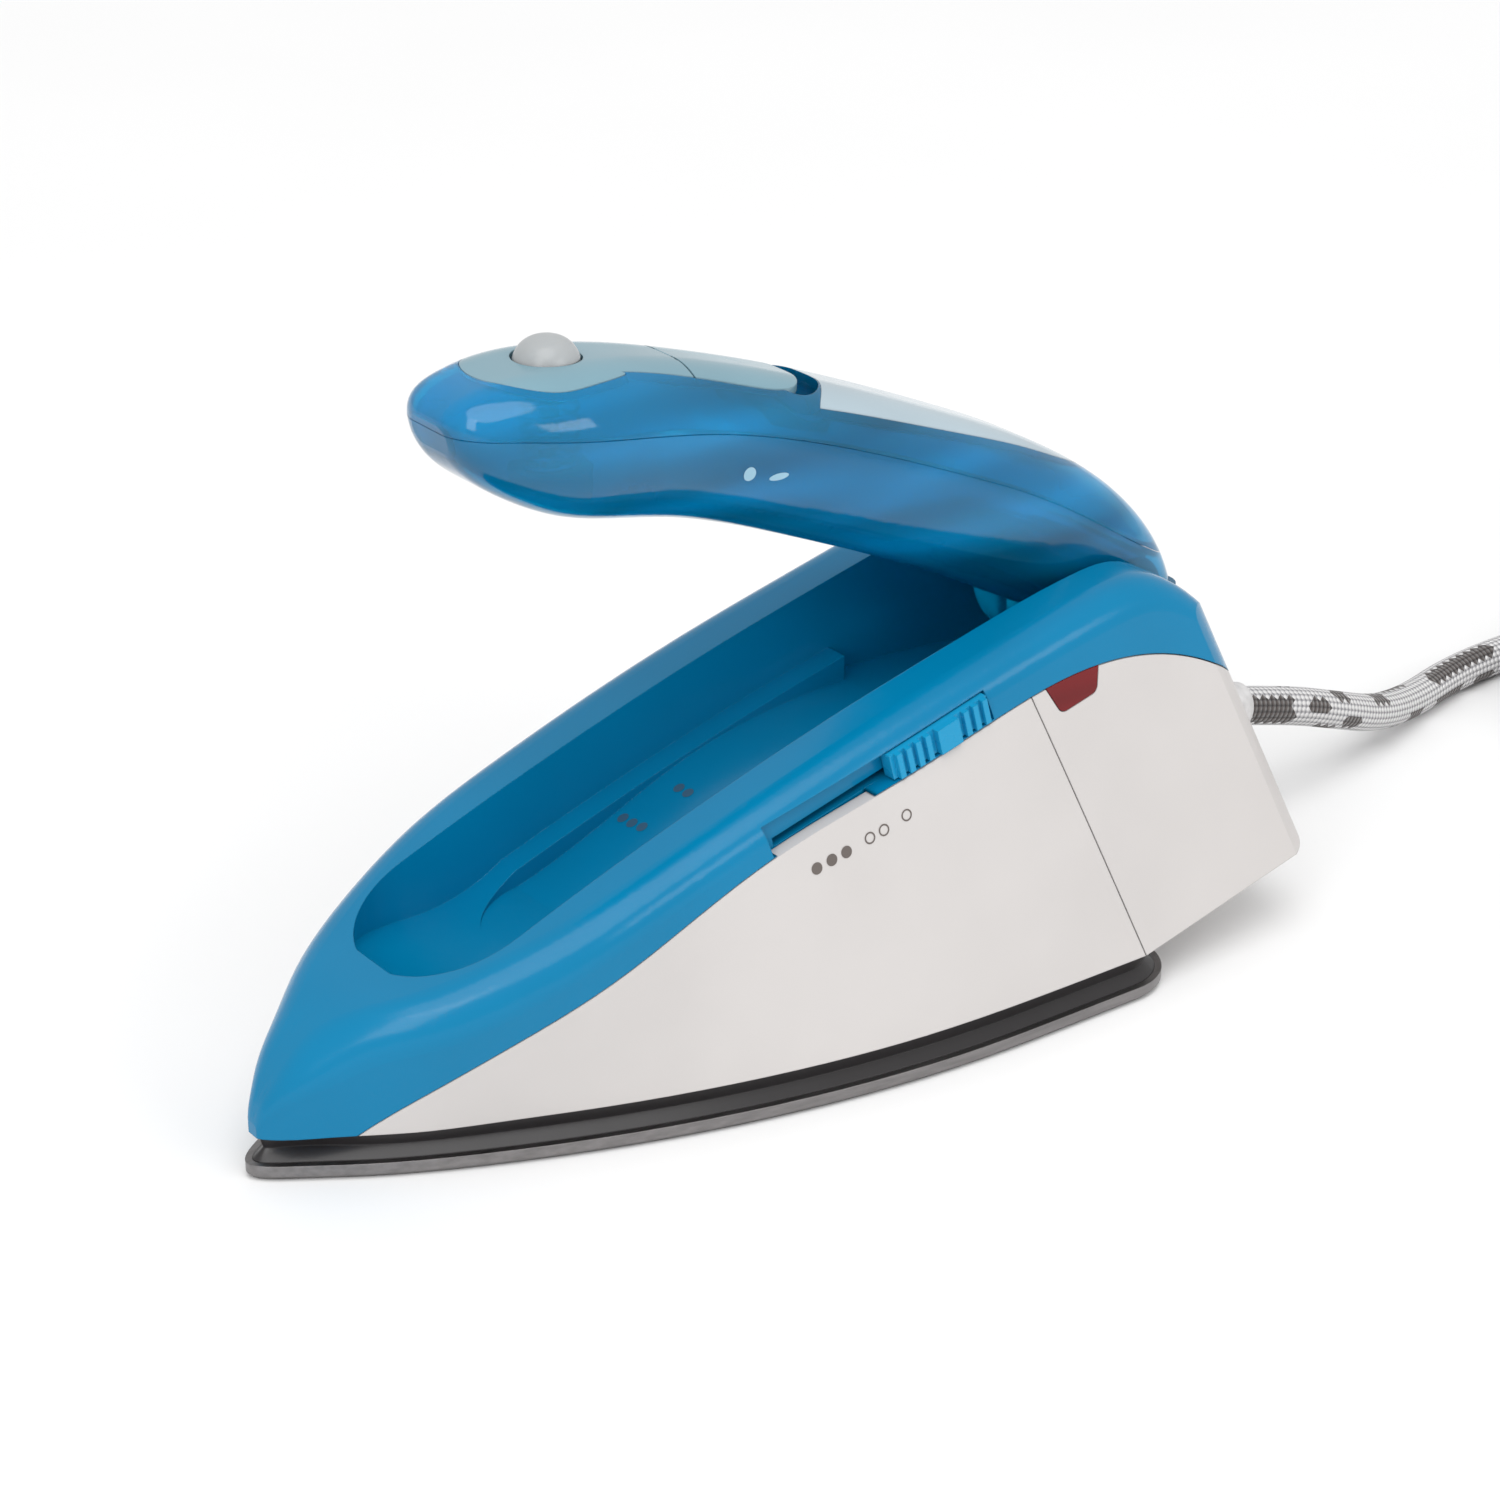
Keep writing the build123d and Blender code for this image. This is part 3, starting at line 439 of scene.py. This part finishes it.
TRIM_DARK = MouldedPlastic("trim_dark", (0.022, 0.020, 0.021), (0.26, 0.36), coat=0.1)
SHEET = WorkedMetal("sheet_metal", (0.55, 0.55, 0.55), (0.3, 0.5))
SCREW = WorkedMetal("screw_steel", (0.62, 0.62, 0.64), (0.16, 0.3), (1.0, 1.0, 0.1))
BRASS = WorkedMetal("brass", (0.72, 0.52, 0.22), (0.2, 0.36))
CERAMIC = MouldedPlastic("ceramic", (0.80, 0.76, 0.68), (0.3, 0.5), 900.0, 0.00002)
SILICONE = SoftRubber("silicone", (0.62, 0.24, 0.16))
WHITE_RUBBER = SoftRubber("white_rubber", (0.62, 0.61, 0.61), 0.5)
DARK_RUBBER = SoftRubber("dark_rubber", (0.03, 0.03, 0.033))
BRAID = BraidedYarn("braid")
INK = MouldedPlastic("mark_ink", (0.13, 0.11, 0.10), (0.5, 0.6), coat=0.0, edge=0.0)
FLOOR_INK = MouldedPlastic("trough_ink", (0.035, 0.10, 0.17), (0.4, 0.5), coat=0.0, edge=0.0)
PALE_INK = MouldedPlastic("pale_ink", (0.30, 0.50, 0.62), (0.4, 0.5), coat=0.0, edge=0.0)


class FinishShelf:
    """Makes each finish once and puts it on pieces."""

    def __init__(self) -> None:
        """Start with no materials made."""
        self.made: dict[str, bpy.types.Material] = {}

    def get(self, finish: Finish) -> bpy.types.Material:
        """Return the finish's material, made at its first use."""
        if finish.name not in self.made:
            self.made[finish.name] = finish.material()
        return self.made[finish.name]

    def dress(self, piece: bpy.types.Object, finish: Finish) -> None:
        """Give the whole piece one finish.

        Args:
            piece: Object with mesh or curve data.
            finish: The finish.
        """
        piece.data.materials.clear()
        piece.data.materials.append(self.get(finish))


@dataclass
class SubAssembly:
    """CAD nodes that are dressed together."""

    shelf: FinishShelf
    nodes: dict[str, Finish] = field(default_factory=dict)

    def build(self) -> None:
        """Dress every node and report it."""
        for name, finish in self.nodes.items():
            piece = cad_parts[name]
            self.shelf.dress(piece, finish)
            LOG.info("dressed %s in %s", name, finish.name)


# ---------------------------------------------------------------- printed marks
@dataclass(frozen=True)
class Mark:
    """One small printed mark laid on a CAD surface."""

    shape: MarkShape
    first: float
    second: float
    size: float


@dataclass
class MarkPrinter:
    """Lays thin mesh marks on a CAD node along a direction."""

    shelf: FinishShelf
    node: str
    body: str
    slot: str
    ink: Finish
    direction: Direction
    lift: float = 0.00006
    rounds: int = 28
    bar_stretch: float = 3.2
    side_start: float = 0.2
    top_start: float = 0.08

    def __post_init__(self) -> None:
        """Read the surface that the marks lie on."""
        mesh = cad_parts[self.node].data
        corners = [vertex.co.copy() for vertex in mesh.vertices]
        faces = [tuple(polygon.vertices) for polygon in mesh.polygons]
        self.surface = BVHTree.FromPolygons(corners, faces)
        self.way = Vector(self.direction.value)

    def land(self, first: float, second: float) -> Vector | None:
        """Drop a point onto the surface.

        Args:
            first: Place along X.
            second: Place along Z for a side mark, or along Y for one seen from above.

        Returns:
            The point just above the surface, or None where there is none.
        """
        if self.direction is Direction.FROM_SLIDER_SIDE:
            start = Vector((first, self.side_start, second))
        else:
            start = Vector((first, second, self.top_start))
        hit, normal, _, _ = self.surface.ray_cast(start, self.way)
        if hit is None:
            return None
        if normal.dot(self.way) > 0.0:
            normal = -normal
        return hit + normal * self.lift

    def outline(self, mark: Mark) -> list[list[Pair]]:
        """Loops of a mark from its inside to its outside.

        Args:
            mark: The mark.

        Returns:
            Closed loops of places in the mark's own plane.
        """
        shares = {MarkShape.DOT: (0.02, 0.55, 1.0), MarkShape.RING: (0.74, 0.87, 1.0),
                  MarkShape.BAR: (0.02, 0.5, 1.0)}
        wide = self.bar_stretch if mark.shape is MarkShape.BAR else 1.0
        loops = []
        for share in shares[mark.shape]:
            loop = []
            for count in range(self.rounds):
                angle = math.tau * count / self.rounds
                loop.append((mark.first + wide * mark.size * share * math.cos(angle),
                             mark.second + mark.size * share * math.sin(angle)))
            loops.append(loop)
        return loops

    def print(self, name: str, marks: list[Mark]) -> bpy.types.Object:
        """Build one object that holds several marks.

        Args:
            name: Name of the object.
            marks: The marks.

        Returns:
            The object, riding on its body.
        """
        corners: list[Vector] = []
        faces: list[tuple[int, ...]] = []
        for mark in marks:
            loops = self.outline(mark)
            base = len(corners)
            landed = [self.land(*place) for loop in loops for place in loop]
            if any(point is None for point in landed):
                LOG.warning("%s: a mark at %.4f, %.4f misses its surface", name, mark.first, mark.second)
                continue
            corners.extend(landed)
            for ring in range(len(loops) - 1):
                for count in range(self.rounds):
                    after = (count + 1) % self.rounds
                    low, high = base + ring * self.rounds, base + (ring + 1) * self.rounds
                    faces.append((low + count, high + count, high + after, low + after))
            if mark.shape is not MarkShape.RING:
                faces.append(tuple(base + count for count in range(self.rounds)))
        mesh = bpy.data.meshes.new(name)
        mesh.from_pydata([tuple(corner) for corner in corners], [], faces)
        mesh.validate()
        piece = stand(name, mesh)
        self.shelf.dress(piece, self.ink)
        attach(piece, self.body)
        LOG.info("printed %s: %d marks", name, len(marks))
        return piece


# ---------------------------------------------------------------- sub-assemblies
@dataclass
class Sole(SubAssembly):
    """Sole casting, its dark surround and the heater parts on it."""

    def __post_init__(self) -> None:
        """Choose the finishes."""
        self.nodes = {
            "soleplate": SOLE_METAL, "sole_surround": TRIM_DARK, "chamber_gasket": SILICONE,
            "steam_chamber_lid": SHEET, "heating_element": SHEET, "element_terminals": SHEET,
            "heat_shield_frame": TRIM_DARK, "frame_screws": SCREW, "drip_valve": BRASS,
            "water_tube": SILICONE,
        }


@dataclass
class Covers(SubAssembly):
    """Blue top cover, the white covers, the lamp lens and the level marks printed on them."""

    dot: float = 0.00105
    level_dots: tuple[Pair, ...] = ((0.00933, 0.04124), (0.00632, 0.04197), (0.00336, 0.04262))
    level_rings: tuple[Pair, ...] = ((-0.00146, 0.04384), (-0.00437, 0.0445), (-0.00915, 0.04589))
    floor_dot: float = 0.0010
    floor_places: tuple[Pair, ...] = (
        (0.01934, -0.01017), (0.01926, -0.00758), (0.01894, -0.00504), (0.00967, -0.00698),
        (0.00962, -0.0044),
    )

    def __post_init__(self) -> None:
        """Choose the finishes."""
        self.nodes = {
            "top_cover": COVER_BLUE, "front_skirt": WARM_WHITE, "rear_cover": WARM_WHITE,
            "rear_screws": SCREW, "lamp_lens": LENS_RED, "neon_lamp": LAMP_CLEAR,
        }

    def print_marks(self) -> None:
        """Print the heat levels on the skirt and the small dots on the trough's floor."""
        side = MarkPrinter(self.shelf, "front_skirt", "base", "dark_trim", INK, Direction.FROM_SLIDER_SIDE)
        marks = [Mark(MarkShape.DOT, x, z, self.dot) for x, z in self.level_dots]
        marks += [Mark(MarkShape.RING, x, z, self.dot) for x, z in self.level_rings]
        side.print("heat_level_marks", marks)
        floor = MarkPrinter(self.shelf, "top_cover", "base", "grey_panel", FLOOR_INK, Direction.FROM_ABOVE)
        floor.print("trough_marks", [Mark(MarkShape.DOT, x, y, self.floor_dot) for x, y in self.floor_places])


@dataclass
class TankHandle(SubAssembly):
    """See-through tank handle with its inlays, button and hinge parts."""

    fill_dot: Pair = (0.0104, 0.1058)
    fill_bar: Pair = (0.0046, 0.1041)
    dot_size: float = 0.0012
    bar_size: float = 0.0006
    button_travel: float = 0.0025

    def __post_init__(self) -> None:
        """Choose the finishes."""
        self.nodes = {
            "tank_shell": TANK_BLUE, "handle_top_shell": TANK_BLUE, "button_panel": INLAY_GREY,
            "filler_lid": INLAY_GREY, "rear_panel": REAR_INLAY, "valve_seat": WARM_WHITE,
            "steam_button": MILKY, "hinge_pin": SCREW, "friction_washers": SILICONE,
            "pin_elbow": WARM_WHITE,
        }

    def wind_spring(self) -> None:
        """Set the return spring under the steam button as a copy of the CAD spring that rides on the handle.
        """
        spring = stand("return_spring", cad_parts["button_spring"].data.copy())
        self.shelf.dress(spring, SCREW)
        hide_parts("button_spring")
        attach(spring, "handle")
        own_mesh(spring)
        LOG.info("wound the return spring")

    def print_marks(self) -> None:
        """Print the filling mark on the tank's side."""
        side = MarkPrinter(self.shelf, "tank_shell", "handle", "grey_panel", PALE_INK,
                           Direction.FROM_SLIDER_SIDE)
        side.print("fill_mark", [Mark(MarkShape.DOT, *self.fill_dot, self.dot_size),
                                 Mark(MarkShape.BAR, *self.fill_bar, self.bar_size)])


@dataclass
class HeatControl(SubAssembly):
    """Slider, thermostat and the wiring behind the covers."""

    def __post_init__(self) -> None:
        """Choose the finishes."""
        self.nodes = {
            "temperature_slider": KNOB_BLUE, "thermostat": CERAMIC, "thermostat_spindle": BRASS,
            "thermal_fuse": CERAMIC, "terminal_block": WARM_WHITE, "terminal_screws": SCREW,
            "inner_lead": WHITE_RUBBER, "cord_clamp": WARM_WHITE, "lead_wires": SILICONE,
        }


# ---------------------------------------------------------------- mains cord
@dataclass
class MainsCord(SubAssembly):
    """Braided mains cord: strain relief, free run, tied coil and plug."""

    diameter: float = 0.0076
    relief_tip: Point = (-0.117436, 0.0, 0.025051)
    free_run: tuple[Point, ...] = (
        (-0.132, -0.0003, 0.0212), (-0.1475, -0.0022, 0.0152), (-0.163, -0.0064, 0.0086),
        (-0.180, -0.0126, 0.0044), (-0.1985, -0.0182, 0.0039),
    )
    stub_x: float = -0.217
    coil_centre: Pair = (-0.247, 0.034)
    outer_turn: float = 0.0534
    inner_turn: float = 0.0306
    layer_turns: float = 3.0
    climb_turns: float = 0.5
    climb_inset: float = 0.002
    settle_turns: float = 0.25
    low_z: float = 0.0039
    high_z: float = 0.0116
    tail_z: float = 0.0106
    tail_x: float = -0.202
    tail_run: float = 0.022
    points_per_turn: int = 16
    sides: int = 20

    def __post_init__(self) -> None:
        """Choose the finishes of the CAD nodes that stay."""
        self.nodes = {
            "strain_relief": WHITE_RUBBER, "cord_tie": DARK_RUBBER, "plug_body": WHITE_RUBBER,
            "plug_blades": BRASS,
        }

    def route(self) -> list[Point]:
        """Control points from the strain relief through the coil to the plug.

        Returns:
            Points in metres.
        """
        x, y = self.coil_centre
        points = [self.relief_tip, *self.free_run, (self.stub_x, y - self.outer_turn, self.low_z)]
        total = 2 * self.layer_turns + self.climb_turns
        steps = round(total * self.points_per_turn)
        for count in range(steps + 1):
            turns = total * count / steps
            radius, z = self.turn_place(turns)
            angle = -math.pi / 2 - math.tau * turns
            points.append((x + radius * math.cos(angle), y + radius * math.sin(angle), z))
        tail_y = y + self.outer_turn
        points += [(end, tail_y, self.tail_z) for end in (self.tail_x - self.tail_run, self.tail_x)]
        return points

    def turn_place(self, turns: float) -> Pair:
        """Radius and height of the coil after some turns: in along the table, up, and out again.

        Args:
            turns: Turns from the coil's start.

        Returns:
            Radius and height in metres.
        """
        reach = self.outer_turn - self.inner_turn
        if turns <= self.layer_turns:
            return self.outer_turn - reach * turns / self.layer_turns, self.low_z
        climb = (turns - self.layer_turns) / self.climb_turns
        rise = self.high_z - self.low_z
        if climb <= 1.0:
            ease = climb * climb * (3.0 - 2.0 * climb)
            return self.inner_turn - self.climb_inset * math.sin(math.pi * climb), self.low_z + rise * ease
        out = (turns - self.layer_turns - self.climb_turns) / self.layer_turns
        last = max(0.0, out * self.layer_turns - (self.layer_turns - self.settle_turns)) / self.settle_turns
        return self.inner_turn + reach * out, self.high_z + (self.tail_z - self.high_z) * last

    def centre_line(self) -> list[Vector]:
        """Smooth line through the route.

        Returns:
            Points along the NURBS curve of the route.
        """
        points = self.route()
        curve = bpy.data.curves.new("cord_line", "CURVE")
        curve.dimensions = "3D"
        spline = curve.splines.new("NURBS")
        spline.points.add(len(points) - 1)
        for point, place in zip(spline.points, points):
            point.co = (*place, 1.0)
        spline.order_u = 3
        spline.use_endpoint_u = True
        spline.resolution_u = 10
        holder = bpy.data.objects.new("cord_line", curve)
        mesh = bpy.data.meshes.new_from_object(holder)
        line = [vertex.co.copy() for vertex in mesh.vertices]
        bpy.data.objects.remove(holder)
        bpy.data.curves.remove(curve)
        bpy.data.meshes.remove(mesh)
        return line

    def tube(self, line: list[Vector]) -> bpy.types.Object:
        """Mesh tube along a line, with the run in metres and the turn round it as its map.

        Args:
            line: Points along the centre.

        Returns:
            The tube.
        """
        radius = self.diameter / 2
        corners: list[Vector] = []
        runs: list[float] = []
        run = 0.0
        ahead = (line[1] - line[0]).normalized()
        side = ahead.cross(Vector((0.0, 0.0, 1.0))).normalized()
        for index, place in enumerate(line):
            after = line[min(index + 1, len(line) - 1)]
            before = line[max(index - 1, 0)]
            turned = (after - before).normalized()
            side = (side - turned * side.dot(turned)).normalized()
            up = turned.cross(side)
            if index:
                run += (place - line[index - 1]).length
            runs.append(run)
            for count in range(self.sides):
                angle = math.tau * count / self.sides
                corners.append(place + (side * math.cos(angle) + up * math.sin(angle)) * radius)
        faces = []
        maps = []
        for ring in range(len(line) - 1):
            for count in range(self.sides):
                after = (count + 1) % self.sides
                low, high = ring * self.sides, (ring + 1) * self.sides
                faces.append((low + count, low + after, high + after, high + count))
                near, far = count / self.sides, (count + 1) / self.sides
                here, ahead_run = runs[ring], runs[ring + 1]
                maps += [(here, near), (here, far), (ahead_run, far), (ahead_run, near)]
        mesh = bpy.data.meshes.new("mains_cord")
        mesh.from_pydata([tuple(corner) for corner in corners], [], faces)
        layer = mesh.uv_layers.new(name="run_turn")
        for loop, place in zip(layer.data, maps):
            loop.uv = place
        for polygon in mesh.polygons:
            polygon.use_smooth = True
        piece = stand("mains_cord", mesh)
        LOG.info("cord line is %.3f m long", run)
        self.length = run
        return piece

    def lay_cord(self) -> None:
        line = self.centre_line()
        piece = self.tube(line)
        self.shelf.dress(piece, BRAID)
        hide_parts("cord_tube", "cord_coil", "cord_tail")
        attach(piece, "base")
        LOG.info("laid the mains cord")


# ---------------------------------------------------------------- studio
@dataclass
class Studio:
    """Pale floor, soft light and the camera."""

    azimuth: float = 143.2656
    elevation: float = 25.0345
    distance: float = 0.6085537
    target: Point = (0.005969, 0.0086065, 0.0533119)
    lens: float = 86.38
    sensor: float = 36.0
    floor_colour: Colour = (0.90, 0.90, 0.90)
    floor_half: float = 6.0
    floor_z: float = -0.0001
    surround: float = 0.70
    sky_power: float = 1.25
    sky_spread: float = 50.0
    sky_way: Point = (-0.25, -0.35, -1.0)

    def back(self) -> Vector:
        """Direction from the object to the camera."""
        turn, rise = math.radians(self.azimuth), math.radians(self.elevation)
        level = math.cos(rise)
        return Vector((math.sin(turn) * level, -math.cos(turn) * level, math.sin(rise)))

    def camera(self) -> None:
        """Set up the camera."""
        data = bpy.data.cameras.new("camera")
        data.lens = self.lens
        data.sensor_width = self.sensor
        data.clip_start = 0.01
        camera = stand("camera", data)
        camera.location = Vector(self.target) + self.back() * self.distance
        aim(camera, -self.back())
        bpy.context.scene.camera = camera

    def floor(self) -> None:
        """Lay a wide plain floor under the sole."""
        mesh = bpy.data.meshes.new("floor")
        half = self.floor_half
        rim = ((-half, -half), (half, -half), (half, half), (-half, half))
        mesh.from_pydata([(x, y, self.floor_z) for x, y in rim], [], [(0, 1, 2, 3)])
        plane = stand("floor", mesh)
        graph = Graph("floor_paint")
        soft = graph.noise(6.0, 2.0)
        tint = graph.ramp(soft, "Fac", shade(self.floor_colour, 0.99), self.floor_colour)
        graph.link(tint, "Color", graph.shader, "Base Color")
        graph.set(Roughness=0.75, Specular_IOR_Level=0.2)
        mesh.materials.append(graph.material)

    def soft_box(self, name: str, place: Point, target: Point, size: Pair, power: float) -> None:
        """Add one soft box.

        Args:
            name: Name of the light.
            place: Where it stands.
            target: Point it faces.
            size: Width and height.
            power: Watts.
        """
        data = bpy.data.lights.new(name, "AREA")
        data.shape = "RECTANGLE"
        data.size, data.size_y = size
        data.energy = power
        light = stand(name, data)
        light.location = place
        aim(light, Vector(target) - Vector(place))

    def sky_panel(self) -> None:
        """Add one wide even light from above the nose, so the floor is lit alike everywhere."""
        data = bpy.data.lights.new("sky_panel", "SUN")
        data.energy = self.sky_power
        data.angle = math.radians(self.sky_spread)
        aim(stand("sky_panel", data), Vector(self.sky_way))

    def lights(self) -> None:
        """Set up an even bright surround, a wide light from above and two soft boxes."""
        world = bpy.data.worlds.new("studio")
        world.use_nodes = True
        background = world.node_tree.nodes["Background"]
        background.inputs["Color"].default_value = (1.0, 1.0, 1.0, 1.0)
        background.inputs["Strength"].default_value = self.surround
        bpy.context.scene.world = world
        self.sky_panel()
        self.soft_box("nose_side", (0.9, 0.5, 0.7), (0.0, 0.0, 0.06), (0.35, 0.7), 2.4)
        self.soft_box("slider_side", (-0.3, 1.0, 0.6), (0.0, 0.0, 0.05), (0.7, 0.3), 2.0)

    def build(self) -> None:
        """Build the whole studio."""
        self.camera()
        self.floor()
        self.lights()
        LOG.info("studio is set")


def main() -> None:
    """Build every sub-assembly in order."""
    logging.basicConfig(level=logging.INFO, format="%(name)s: %(message)s")
    bpy.context.scene.view_settings.view_transform = "Standard"
    shelf = FinishShelf()
    Studio().build()
    cord = MainsCord(shelf)
    cord.build()
    cord.lay_cord()
    Sole(shelf).build()
    covers = Covers(shelf)
    covers.build()
    covers.print_marks()
    handle = TankHandle(shelf)
    handle.build()
    handle.wind_spring()
    handle.print_marks()
    HeatControl(shelf).build()


if __name__ == "__main__":
    main()
